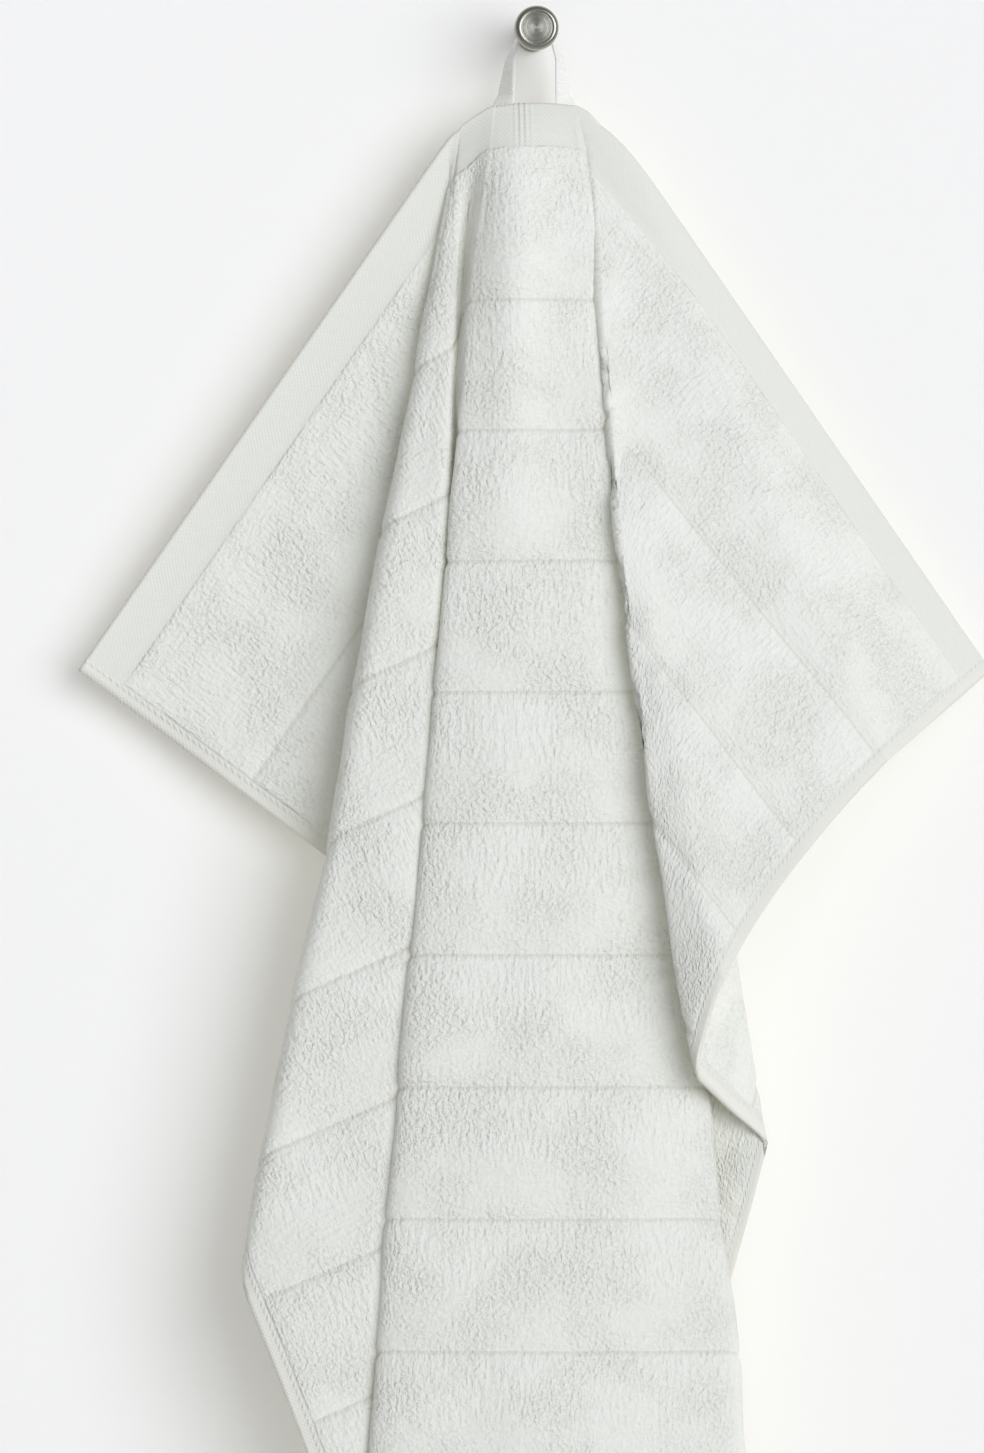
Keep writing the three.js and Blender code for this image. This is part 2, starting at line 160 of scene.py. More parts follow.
@dataclass(frozen=True)
class TopEdge:
    """The top edge: level at the loop, bent down on an arc, then straight to each corner."""

    height: float = -22.5
    out: float = 24.0
    corner_out: float = 17.0
    level: float = 2.0
    bend_radius: float = 34.0
    slope: float = math.radians(55.2)

    def place(self, across: Array, half_width: float) -> Array:
        """The edge's places in the room.

        The arc turns through (distance past the level part) / (bend radius) until it has the slope.

        Args:
            across: Distances across the towel, of any shape.
            half_width: Half of the towel's width.

        Returns:
            x, out and z along a new last axis.
        """
        along = np.abs(across)
        turned = np.clip((along - self.level) / self.bend_radius, 0.0, self.slope)
        straight = np.maximum(along - self.level - self.bend_radius * self.slope, 0.0)
        sideways = np.minimum(along, self.level) + self.bend_radius * np.sin(turned)
        sideways = sideways + straight * math.cos(self.slope)
        drop = self.bend_radius * (1.0 - np.cos(turned)) + straight * math.sin(self.slope)
        out = lerp(self.out, self.corner_out, along / half_width)
        return stacked(np.sign(across) * sideways, out, self.height - drop)


@dataclass(frozen=True)
class Drape:
    """How the towel hangs: a fan of creases, with the spare cloth in layers behind the front panel."""

    half_width: float = 250.0
    length: float = 700.0
    edge: TopEdge = TopEdge()
    flap_back: Crease = Crease(-33.5, -250, 174, -8, 18, -322, 0, 1, 4, bundled=False)
    flap_turn: Crease = Crease(-32, -250, 186, -8, 24, -330, 0, 1, 4, bundled=False)
    pleat_back: Crease = Crease(-30.4, -250, 300, -97, 38, -404, 2, 1.2, 4)
    pleat_front: Crease = Crease(-29.2, -250, 318, -100, 50, -414, 4, 1.7, 4)
    pleat_inner: Crease = Crease(-28, -250, 428, -60.5, 58, -516, 4.5, 1.3, 3, Foot(-300, -74, 40, -764))
    panel_left: Crease = Crease(-14, -57, 450, -56, 61, -472, -1.6, 1.3, -1, Foot(-60, -52, 60, -722))
    panel_right: Crease = Crease(13, 67, 450, 67.5, 60, -472, 3.5, 1.2, 1, Foot(64, 60, 58, -722))
    roll_back: Crease = Crease(16, 250, 255, 76, 48, -370, 0, 1.2, 3, Foot(340, 120, 34, -768))
    roll_under: Crease = Crease(18, 250, 208, 51, 68, -347, -6.5, 1.4, 3)
    flap_crease: Crease = Crease(24, 250, 172, 60, 72, -315, -7, 3, 2, bundled=False)
    flap_bend: Crease = Crease(30, 250, 65, 116, 44, -244, 0, 3, 0, bundled=False)
    left_tuck: Tuck = Tuck(1, 0.035, 0.22, 0.14, valley=7.0, back=0.17, rise=0.12, rise_run=0.06)
    right_tuck: Tuck = Tuck(-1, 0.035, 0.17, 0.06, valley=3.0)
    growth_start: float = 20.0
    dip_down: float = 26.0
    layer_pitch: float = 5.2
    gap_step: float = 1.6
    layer_softness: float = 0.8
    full_pitch_down: float = 450.0
    tucks_open: Pair = (80.0, 190.0)
    middle_open: Pair = (130.0, 300.0)
    valley_share: float = 0.3
    valley_floor: float = 9.0
    valley_open: Pair = (9.0, 35.0)
    flap_crown: float = 2.0
    panel_crown: float = 5.0
    panel_lines: int = 7
    panel_softness: float = 1.5
    ridge_height: float = 7.0
    ridge_down: float = 45.0
    ridge_place: float = 0.30
    ridge_spread: float = 0.20
    rounding_at_edge: float = 1.5
    rounding_growth: float = 0.016
    rounding_most: float = 7.0
    hem_rounding: float = 9.0
    hem_rounding_down: float = 52.0
    rounding_taps: int = 17
    bell_share: float = 0.9

    def crease_at(self, crease: Crease, down: Array) -> Array:
        """One crease's across, x, out, z and softness at each distance down the towel.

        Straight in the flat towel and in the room. A bundled crease leaves the wall with the square root
        of the distance, and the others evenly.

        Args:
            crease: The crease.
            down: The rows' distances down.

        Returns:
            An array of rows by 5.
        """
        start = self.edge.place(np.float64(crease.hem), self.half_width)
        along = down / crease.down
        grown = along
        if crease.bundled:
            first = math.sqrt(self.growth_start)
            last = math.sqrt(crease.down + self.growth_start)
            grown = (np.sqrt(np.maximum(down, 0.0) + self.growth_start) - first) / (last - first)
        bowed = crease.bow * 4.0 * np.maximum(along * (1.0 - along), 0.0)
        dip = crease.dip * (down / self.dip_down) * np.exp(1.0 - down / self.dip_down)
        columns = (
            lerp(crease.hem, crease.across, along),
            lerp(start[0], crease.x, along) + bowed,
            lerp(start[1], crease.out, grown) - dip,
            lerp(start[2], crease.z, along),
            np.full_like(down, crease.soft),
        )
        straight = stacked(*columns)
        foot = crease.foot
        if foot is None:
            return straight
        hanging = straight.copy()
        hanging[:, :3] = foot.across, foot.x, foot.out
        hanging[:, 3] = foot.z + self.length - down
        return lerp(straight, hanging, smoothstep(down, crease.down, self.length)[:, None])

    def tuck_nodes(self, edge: Array, outer: Array, tuck: Tuck, down: Array) -> Array:
        """The fold lines of the layers between an edge of the front panel and the next crease.

        Near the top edge the spare cloth is one valley, half a sine wave deep. Further down it goes in
        behind the panel, back, in again, and out, and each layer lies one pitch nearer the wall. On the
        left the last layer rises to just behind the panel where it comes back to the gap.

        Args:
            edge: The panel's edge in each row.
            outer: The crease at which the spare cloth comes out, in each row.
            tuck: The layers' shares.
            down: The rows' distances down.

        Returns:
            An array of rows by fold lines by 5.
        """
        flat = np.abs(outer[:, 0] - edge[:, 0])
        level = np.sqrt(np.maximum(flat**2 - (outer[:, 3] - edge[:, 3]) ** 2, 0.0))
        pitch = self.layer_pitch * np.sqrt(np.clip(down / self.full_pitch_down, 0.0, 1.0))
        opened = smoothstep(down, *self.tucks_open)
        reach = edge[:, 1] + tuck.inward * tuck.front * level
        middle = reach - tuck.inward * tuck.middle * level * smoothstep(down, *self.middle_open)
        mouth_out = (edge[:, 2] + outer[:, 2]) / 2.0
        room = np.clip(mouth_out - self.valley_floor, 0.0, tuck.valley)
        valley = np.minimum(self.valley_share * level, room) * smoothstep(down, *self.valley_open)
        softness = np.full_like(down, self.layer_softness)
        steps = [
            (tuck.turn, edge[:, 1], pitch),
            (tuck.front, reach, pitch),
            (tuck.turn, reach, 2 * pitch),
            (tuck.middle, middle, 2 * pitch),
            (tuck.turn, middle, 3 * pitch),
            (tuck.middle, reach, 3 * pitch),
            (tuck.turn, reach, 4 * pitch),
        ]
        if tuck.back > 0:
            back_x = reach - tuck.inward * tuck.back * level
            steps.append((tuck.back, back_x, 4 * pitch))
            steps.append((tuck.rise, back_x - tuck.inward * tuck.rise_run * level, pitch + self.gap_step))
        share = 0.0
        nodes = []
        for part, x, depth in steps:
            share += part
            between = lerp(edge, outer, share)
            x_place = lerp(between[:, 1], x, opened)
            sunk = between[:, 2] - valley * math.sin(math.pi * share)
            out_place = lerp(sunk, edge[:, 2] - depth, opened)
            nodes.append(stacked(between[:, 0], x_place, out_place, between[:, 3], softness))
        return np.stack(nodes, axis=1)

    def panel_nodes(self, left: Array, right: Array, down: Array) -> Array:
        """The front panel between its edges: a low crown, and the narrow ridge below the loop.

        Args:
            left: The panel's left edge in each row.
            right: Its right edge.
            down: The rows' distances down.

        Returns:
            An array of rows by lines by 5.
        """
        shares = np.arange(1, self.panel_lines + 1) / (self.panel_lines + 1)
        nodes = lerp(left[:, None, :], right[:, None, :], shares[None, :, None])
        crown = self.panel_crown * smoothstep(down, 0.0, self.full_pitch_down)
        ridge = self.ridge_height * (down / self.ridge_down) * np.exp(1.0 - down / self.ridge_down)
        bell = np.exp(-(((shares - self.ridge_place) / self.ridge_spread) ** 2))
        nodes[:, :, 2] += crown[:, None] * 4.0 * shares * (1.0 - shares) + ridge[:, None] * bell
        nodes[:, :, 4] = self.panel_softness
        return nodes

    def lines(self, down: Array, *creases: Crease) -> Array:
        """Some creases in each row: an array of rows by creases by 5."""
        return np.stack([self.crease_at(crease, down) for crease in creases], axis=1)

    def rows(self, down: Array) -> Array:
        """All the fold lines in each weft row, from the left flap to the right flap.

        Args:
            down: The rows' distances down.

        Returns:
            An array of rows by lines by 5: across, x, out, z and softness.
        """
        before = self.lines(
            down, self.flap_back, self.flap_turn, self.pleat_back, self.pleat_front, self.pleat_inner
        )
        edges = self.lines(down, self.panel_left, self.panel_right)
        after = self.lines(down, self.roll_back, self.roll_under, self.flap_crease, self.flap_bend)
        left, right = edges[:, 0], edges[:, 1]
        left_tucks = self.tuck_nodes(left, before[:, -1], self.left_tuck, down)[:, ::-1]
        right_tucks = self.tuck_nodes(right, after[:, 0], self.right_tuck, down)
        panel = self.panel_nodes(left, right, down)
        parts = [before, left_tucks, edges[:, :1], panel, edges[:, 1:], right_tucks, after]
        return np.concatenate(parts, axis=1)

    def sharp(self, rows: Array, across: Array) -> tuple[Array, Array]:
        """Places on the sharply creased rows, straight between neighbouring fold lines.

        Past the last line on each side the cloth runs on evenly towards the corner.

        Args:
            rows: The fold lines of each row.
            across: Distances across, rows by columns.

        Returns:
            x, y and z in millimetres along a new last axis, and the softness there.
        """
        before = (rows[:, None, :, 0] < across[:, :, None]).sum(axis=-1) - 1
        before = np.clip(before, 0, rows.shape[1] - 2)[..., None].repeat(rows.shape[-1], axis=-1)
        left = np.take_along_axis(rows, before, axis=1)
        right = np.take_along_axis(rows, before + 1, axis=1)
        share = (across - left[..., 0]) / (right[..., 0] - left[..., 0])
        line = lerp(left, right, np.clip(share, 0.0, 1.0)[..., None])
        place, softness = line[..., 1:4], line[..., 4]
        for side, end in ((-1.0, rows[:, :1, 0]), (1.0, rows[:, -1:, 0])):
            marks = side * np.array([self.edge.bend_radius, self.half_width])
            start, corner = self.edge.place(marks, self.half_width)
            run = (corner - start) / (self.half_width - self.edge.bend_radius)
            place = place + np.maximum(side * (across - end), 0.0)[..., None] * run
        place[..., 1] += self.flap_bulge(rows[:, :1, 0], across)
        return place * np.array([1.0, -1.0, 1.0]), softness

    def flap_bulge(self, end: Array, across: Array) -> Array:
        """How far the left flap bulges out: a parabola from its crease to the side hem.

        It is lower near the straight top edge and where the flap gets narrow.

        Args:
            end: The flap's crease in each row, as a distance across.
            across: Distances across, rows by columns.

        Returns:
            The bulge in millimetres.
        """
        width = np.maximum(self.half_width - np.abs(end), 1.0)
        place = np.clip((end - across) / width, 0.0, 1.0)
        opening = np.clip(width / self.half_width, 0.0, 1.0)
        return self.flap_crown * 4.0 * opening * (1.0 - opening) * 4.0 * place * (1.0 - place)

    def rounding(self, down: Array) -> Array:
        """How far to each side of a crease the cloth is rounded."""
        hem = self.hem_rounding * np.exp(-((down / self.hem_rounding_down) ** 2))
        return np.minimum(self.rounding_at_edge + self.rounding_growth * down, self.rounding_most) + hem

    def surface(self, across: Array, down: Array) -> Array:
        """The towel's middle surface: the sharp rows averaged with a cosine bell over the rounding.

        Args:
            across: Distances across, rows by columns.
            down: The rows' distances down.

        Returns:
            x, y and z in millimetres, an array of rows by columns by 3.
        """
        rows = self.rows(down)
        taps = np.linspace(-1.0, 1.0, self.rounding_taps)
        weights = np.cos(taps * self.bell_share * math.pi / 2.0) ** 2
        spread = self.rounding(down)[:, None] * self.sharp(rows, across)[1]
        total = sum(w * self.sharp(rows, across + tap * spread)[0] for tap, w in zip(taps, weights))
        return total / weights.sum()


@dataclass(frozen=True)
class Cloth:
    """What is woven and sewn into the flat towel, in millimetres.

    A groove crosses it at "first_groove" down and then at every "repeat". Below each groove the pile
    stands in ribs for "ribbed", and smoother down to the next one.
    """

    half_width: float = 250.0
    length: float = 700.0
    end_hem: float = 14.3
    side_hem: float = 5.2
    first_groove: float = 66.2
    repeat: float = 43.7
    groove: float = 2.3
    ribbed: float = 24.0
    hem_ramp: float = 1.6
    hem_thickness: float = 0.62
    groove_thickness: float = 0.42
    lump_height: float = 0.22
    lump_lengths: Pair = (30.0, 95.0)
    lump_count: int = 14
    lump_seed: int = 5

    def pile(self, across: Array, down: Array) -> Array:
        """The pile's share of the full thickness: less on the hems and in the grooves.

        Args:
            across: Distances across.
            down: Distances down.

        Returns:
            The shares, from 0 to 1.
        """
        inside = np.minimum(down, self.length - down) - self.end_hem
        beside = self.half_width - np.abs(across) - self.side_hem
        inner = smoothstep(np.minimum(inside, beside), 0.0, self.hem_ramp)
        offset = (down - self.first_groove + self.repeat / 2) % self.repeat - self.repeat / 2
        offset = np.where(down < self.first_groove / 2, self.repeat, offset)
        sunk = 1.0 - smoothstep(np.abs(offset), 0.0, self.groove)
        pile = lerp(1.0, self.groove_thickness, sunk)
        return lerp(self.hem_thickness, pile, inner)

    def lumps(self, across: Array, down: Array) -> Array:
        """How far the cloth stands out of its smooth folds: a sum of slanted sine waves.

        Args:
            across: Distances across.
            down: Distances down.

        Returns:
            Heights in millimetres, which fade out on the top hem.
        """
        draw = np.random.default_rng(self.lump_seed)
        total = np.zeros(np.broadcast(across, down).shape)
        for length in np.geomspace(*self.lump_lengths, self.lump_count):
            turn, start = draw.uniform(0.0, 2.0 * math.pi, 2)
            run = across * math.cos(turn) + down * math.sin(turn)
            share = (length / self.lump_lengths[1]) ** 0.5
            total = total + np.sin(2.0 * math.pi * run / length + start) * share
        return self.lump_height * total * smoothstep(down, 0.0, 3.0 * self.end_hem)


@dataclass(frozen=True)
class SheetGrid:
    """The towel's fine mesh: columns follow the fold lines, and rows follow the woven grooves."""

    drape: Drape = Drape()
    cloth: Cloth = Cloth()
    column_spacing: float = 3.6
    flap_spacing: float = 5.0
    row_spacing: float = 5.7
    hem_rows: tuple[float, ...] = (0.0, 0.8, 2.2, 5.0, 8.5, 12.0, 14.1, 15.1, 16.2, 18.0)
    groove_rows: tuple[float, ...] = (-2.4, -1.2, 0.0, 1.2, 2.4)
    crowding: float = 0.45
    same_point: float = 0.05
    normal_step: float = 0.8

    def downs(self) -> Array:
        """The rows' distances down: close together at both end hems and at each groove."""
        cloth = self.cloth
        first = np.array(self.hem_rows)
        last = cloth.length - first[::-1]
        parts = [first]
        for groove in np.arange(cloth.first_groove, cloth.length - 2 * first[-1], cloth.repeat):
            rows = groove + np.array(self.groove_rows)
            parts += [self.between(parts[-1][-1], rows[0]), rows]
        parts += [self.between(parts[-1][-1], last[0]), last]
        return np.concatenate(parts)

    def between(self, start: float, end: float) -> Array:
        """Even rows between two distances down, without the two themselves."""
        count = max(int(math.ceil((end - start) / self.row_spacing)), 1)
        return np.linspace(start, end, count + 1)[1:-1]

    def normals(self, across: Array, down: Array) -> Array:
        """Unit normals of the smooth folds on the room's side, from small steps along both threads.

        Args:
            across: Distances across, rows by columns.
            down: The rows' distances down.

        Returns:
            An array of rows by columns by 3.
        """
        step = self.normal_step
        up, low = np.maximum(down - step, 0.0), np.minimum(down + step, self.drape.length)
        weft = self.drape.surface(across + step, down) - self.drape.surface(across - step, down)
        warp = self.drape.surface(across, low) - self.drape.surface(across, up)
        normal = np.cross(warp, weft)
        return normal / np.maximum(np.linalg.norm(normal, axis=-1, keepdims=True), TINY)

    def columns(self, down: Array) -> Array:
        """Where each column crosses each row.

        Each run between two fold lines is split evenly, with the columns crowded towards its ends. The
        flaps past the last lines are split alike. A line that has left the towel stays on its side edge.

        Args:
            down: The rows' distances down.

        Returns:
            Distances across, an array of rows by columns.
        """
        half = self.drape.half_width
        lines = np.clip(self.drape.rows(down)[..., 0], -half, half)
        side = np.full((len(down), 1), half)
        lines = np.concatenate([-side, lines, side], axis=1)
        widest = np.diff(lines, axis=1).max(axis=0)
        parts = []
        for run, width in enumerate(widest):
            flap = run in (0, len(widest) - 1)
            spacing = self.flap_spacing if flap else self.column_spacing
            count = max(int(math.ceil(width / spacing)), 1)
            steps = np.arange(count) / count
            steps = steps - self.crowding * np.sin(2 * math.pi * steps) / (2 * math.pi)
            parts.append(lerp(lines[:, run : run + 1], lines[:, run + 1 : run + 2], steps[None, :]))
        parts.append(lines[:, -1:])
        return np.concatenate(parts, axis=1)

    def faces(self, across: Array) -> tuple[Array, list[list[int]]]:
        """Numbers the grid's points and lists its faces.

        Neighbours in a row that lie on the same place share one point, so a strip that has closed up
        has no face, and one that closes between two rows ends in a triangle.

        Args:
            across: Distances across, rows by columns.

        Returns:
            The number of each grid place's point, and the faces' corners.
        """
        fresh = np.ones(across.shape, bool)
        fresh[:, 1:] = np.diff(across, axis=1) > self.same_point
        number = fresh.ravel().cumsum().reshape(across.shape) - 1
        a, b = number[:-1, :-1], number[:-1, 1:]
        d, c = number[1:, :-1], number[1:, 1:]
        top, low = a != b, d != c
        quads = stacked(a, d, c, b)[top & low]
        ends = stacked(a, d, b)[top & ~low]
        starts = stacked(a, d, c)[~top & low]
        return number, quads.tolist() + ends.tolist() + starts.tolist()


class MeshMaker:
    """Turns numpy arrays into objects that ride on the frame's one body."""

    @staticmethod
    def make(name: str, points: Array, faces: list[list[int]], slot: Slot) -> bpy.types.Object:
        """Makes a smooth mesh object.

        Args:
            name: The piece's name.
            points: Its points in millimetres.
            faces: The corners of each face.
            slot: Not used.

        Returns:
            The object, linked and riding on the root body.
        """
        mesh = bpy.data.meshes.new(name)
        mesh.from_pydata((points * METRES_PER_MM).tolist(), [], faces)
        mesh.shade_smooth()
        mesh.update()
        piece = link(name, mesh)
        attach(piece, "root")
        LOG.info("%s: %d points, %d faces", name, len(points), len(faces))
        return piece

    @staticmethod
    def flat_places(piece: bpy.types.Object, places: Array) -> None:
        """Stores each point's place in the flat cloth, in millimetres, as the attribute "flat"."""
        attribute = piece.data.attributes.new("flat", "FLOAT_VECTOR", "POINT")
        attribute.data.foreach_set("vector", places.astype(np.float32).ravel())

    @staticmethod
    def rings(name: str, grid: Array, slot: Slot) -> bpy.types.Object:
        """Makes a closed piece from rings of points, with a flat cap on the first and the last ring.

        Args:
            name: The piece's name.
            grid: Its points in millimetres, an array of rings by points around by 3.
            slot: Passed on to make, which does not use it.

        Returns:
            The object, with its faces pointing out.
        """
        index = np.arange(grid.shape[0] * grid.shape[1]).reshape(grid.shape[:2])
        after = np.roll(index, -1, axis=1)
        quads = stacked(index[:-1], after[:-1], after[1:], index[1:])
        faces = quads.reshape(-1, 4).tolist() + [index[0, ::-1].tolist(), index[-1].tolist()]
        piece = MeshMaker.make(name, grid.reshape(-1, 3), faces, slot)
        shell = bmesh.new()
        shell.from_mesh(piece.data)
        bmesh.ops.recalc_face_normals(shell, faces=shell.faces)
        shell.to_mesh(piece.data)
        shell.free()
        return piece


class Socket:
    """A shader value that can be used in Python arithmetic."""

    def __init__(self, shader: "Shader", link: Any) -> None:
        """Keeps the node tree and the output socket."""
        self.shader = shader
        self.link = link

    def _math(self, operation: str, *others: Any, clamp: bool = False) -> "Socket":
        """Adds one Math node on this value and the others."""
        return self.shader.math(operation, self, *others, clamp=clamp)

    def __add__(self, other: Any) -> "Socket":
        """The sum."""
        return self._math("ADD", other)

    __radd__ = __add__

    def __mul__(self, other: Any) -> "Socket":
        """The product."""
        return self._math("MULTIPLY", other)

    __rmul__ = __mul__

    def __sub__(self, other: Any) -> "Socket":
        """The difference."""
        return self._math("SUBTRACT", other)

    def __rsub__(self, other: Any) -> "Socket":
        """The difference, the other way round."""
        return self.shader.math("SUBTRACT", other, self)

    def __pow__(self, other: Any) -> "Socket":
        """The power."""
        return self._math("POWER", other)

    def sin(self) -> "Socket":
        """The sine of the value in radians."""
        return self._math("SINE")

    def abs(self) -> "Socket":
        """The absolute value."""
        return self._math("ABSOLUTE")

    def wave(self, period: float) -> "Socket":
        """A sine wave from 0 to 1 with this period."""
        return (self * (2.0 * math.pi / period)).sin() * 0.5 + 0.5

    def rise(self, low: float, high: float) -> "Socket":
        """The smooth rise from 0 at low to 1 at high."""
        values = {"Value": self, "From Min": low, "From Max": high}
        node = self.shader.node("MapRange", {"interpolation_type": "SMOOTHSTEP"}, values)
        return Socket(self.shader, node.outputs["Result"])

    def bell(self, centre: float, half_width: float) -> "Socket":
        """A smooth bump of height 1 at centre that is 0 past half_width."""
        return 1.0 - (self - centre).abs().rise(0.0, half_width)


class Shader:
    """One material's node tree."""

    noise_detail = 2.0

    def __init__(self, name: str) -> None:
        """Makes an empty material with an output node."""
        self.material = bpy.data.materials.new(name)
        self.material.use_nodes = True
        self.tree = self.material.node_tree
        self.tree.nodes.clear()

    def node(self, kind: str, settings: dict[str, Any], inputs: dict[Any, Any]) -> bpy.types.Node:
        """Makes any node.

        Args:
            kind: The node's type, without its first part, which all shader nodes share.
            settings: Its own settings, set before its sockets.
            inputs: Values or links by socket name or number.

        Returns:
            The node.
        """
        node = self.tree.nodes.new("ShaderNode" + kind)
        for key, value in settings.items():
            setattr(node, key, value)
        for key, value in inputs.items():
            source = value.link if isinstance(value, Socket) else value
            if isinstance(source, bpy.types.NodeSocket):
                self.tree.links.new(source, node.inputs[key])
            else:
                node.inputs[key].default_value = value
        return node

    def math(self, operation: str, *values: Any, clamp: bool = False) -> Socket:
        """Adds a Math node.

        Args:
            operation: What it does.
            values: Its inputs, sockets or numbers.
            clamp: Whether its result is kept between 0 and 1.

        Returns:
            Its result.
        """
        settings = {"operation": operation, "use_clamp": clamp}
        node = self.node("Math", settings, dict(enumerate(values)))
        return Socket(self, node.outputs[0])

    def mix(self, share: Any, first: Any, second: Any) -> bpy.types.NodeSocket:
        """Mixes two colours.

        Args:
            share: The second colour's share.
            first: A colour or a link to one.
            second: A colour or a link to one.

        Returns:
            The mixed colour's socket.
        """
        first = (*first, 1.0) if isinstance(first, tuple) else first
        second = (*second, 1.0) if isinstance(second, tuple) else second
        settings = {"data_type": "RGBA", "clamp_factor": True}
        node = self.node("Mix", settings, {0: share, 6: first, 7: second})
        return node.outputs[2]

    def flat(self) -> tuple[Socket, Socket, bpy.types.NodeSocket]:
        """The cloth's flat place: across, down, and both as a vector, in millimetres."""
        attribute = self.node("Attribute", {"attribute_name": "flat"}, {})
        vector = attribute.outputs["Vector"]
        split = self.node("SeparateXYZ", {}, {0: vector})
        return Socket(self, split.outputs[0]), Socket(self, split.outputs[1]), vector

    def stretched(self, vector: Any, stretch: Triple) -> bpy.types.NodeSocket:
        """A place with each axis multiplied by its own factor."""
        values = {0: vector, 1: stretch}
        return self.node("VectorMath", {"operation": "MULTIPLY"}, values).outputs[0]

    def noise(self, vector: Any, scale: float = 1.0) -> Socket:
        """A noise texture's value about 0.5, read at a place and at a scale."""
        values = {"Vector": vector, "Scale": scale, "Detail": self.noise_detail}
        return Socket(self, self.node("TexNoise", {"noise_dimensions": "3D"}, values).outputs[0])

    def cells(self, vector: Any) -> Socket:
        """The distance from the middle of each Voronoi cell, up to about 0.7 at its corners."""
        node = self.node("TexVoronoi", {"feature": "F1"}, {"Vector": vector, "Scale": 1.0})
        return Socket(self, node.outputs["Distance"])

    def bump(self, height: Any, distance: float, strength: float = 1.0) -> bpy.types.NodeSocket:
        """A Bump node's normal, for a height times distance in metres."""
        values = {"Height": height, "Distance": distance, "Strength": strength}
        return self.node("Bump", {}, values).outputs["Normal"]

    def principled(self, values: dict[str, Any]) -> bpy.types.Material:
        """Ends the material in a Principled shader with these values and links."""
        shader = self.node("BsdfPrincipled", {}, values)
        self.node("OutputMaterial", {}, {"Surface": shader.outputs[0]})
        return self.material


